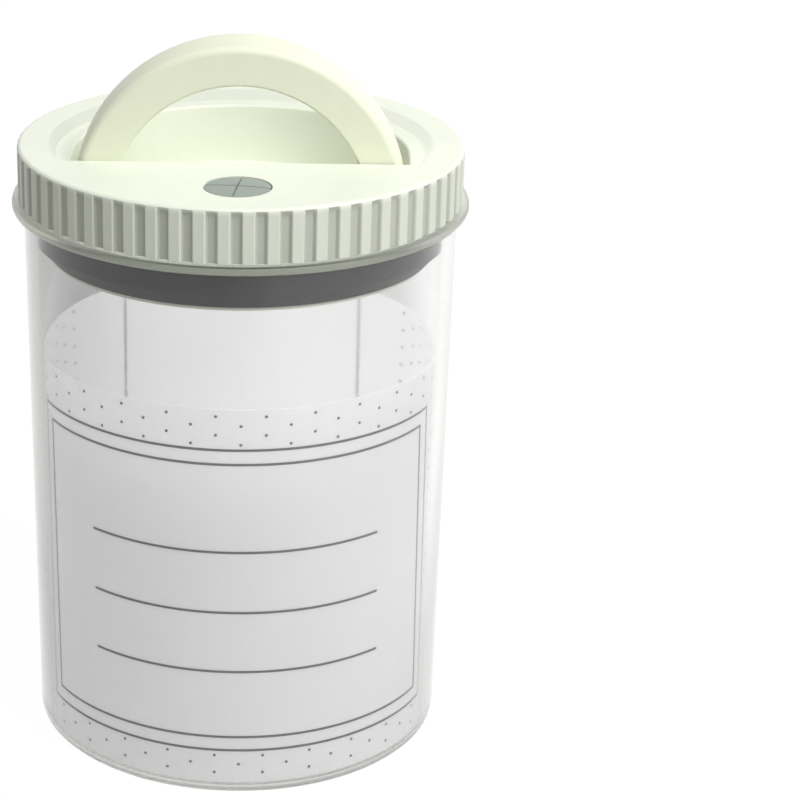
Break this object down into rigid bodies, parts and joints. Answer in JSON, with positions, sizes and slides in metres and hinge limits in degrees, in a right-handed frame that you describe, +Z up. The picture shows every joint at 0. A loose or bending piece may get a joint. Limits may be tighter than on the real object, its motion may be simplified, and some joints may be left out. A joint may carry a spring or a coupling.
{
  "type": "airtight food canister",
  "caption": "Clear round canister with a ribbed push-in lid, sealing ring, fold-down handle, press valve and a rolled paper insert.",
  "frame": {"origin": "centre of the jar's foot, on the surface it stands on", "axes": "+Z up along the jar's axis, -Y towards the lid's valve side, +X to the viewer's right, along the handle's pins"},
  "size_m": [0.115, 0.115, 0.1856],
  "materials": {
    "jar_clear": "clear gloss",
    "label_paper": "uncoated, printed",
    "lid_ivory": "satin",
    "handle_ivory": "satin",
    "retainer_ivory": "satin",
    "stem_ivory": "satin",
    "seal_silicone": "matt",
    "button_silicone": "matt",
    "flap_silicone": "matt",
    "pin_steel": "drawn"
  },
  "bodies": {
    "jar": {"jar_body": "jar_clear", "label_insert": "label_paper"},
    "lid": {"lid_shell": "lid_ivory", "seal_ring": "seal_silicone", "seal_retainer": "retainer_ivory", "handle_pin_left": "pin_steel", "handle_pin_right": "pin_steel"},
    "handle": {"handle": "handle_ivory"},
    "valve": {"valve_button": "button_silicone", "valve_stem": "stem_ivory", "valve_flap": "flap_silicone"}
  },
  "joints": [
    {"name": "lid_lift", "type": "slide", "parent": "jar", "child": "lid", "axis": [0, 0, 1], "range_m": [0, 0.06]},
    {"name": "handle_fold", "type": "hinge", "parent": "lid", "child": "handle", "pos_m": [0, -0.0094, 0.1442], "axis": [-1, 0, 0], "range_deg": [0, 90]},
    {"name": "valve_press", "type": "slide", "parent": "lid", "child": "valve", "axis": [0, 0, -1], "range_m": [0, 0.0012], "stiffness_N_per_m": 1000, "springref_m": -0.0005}
  ]
}
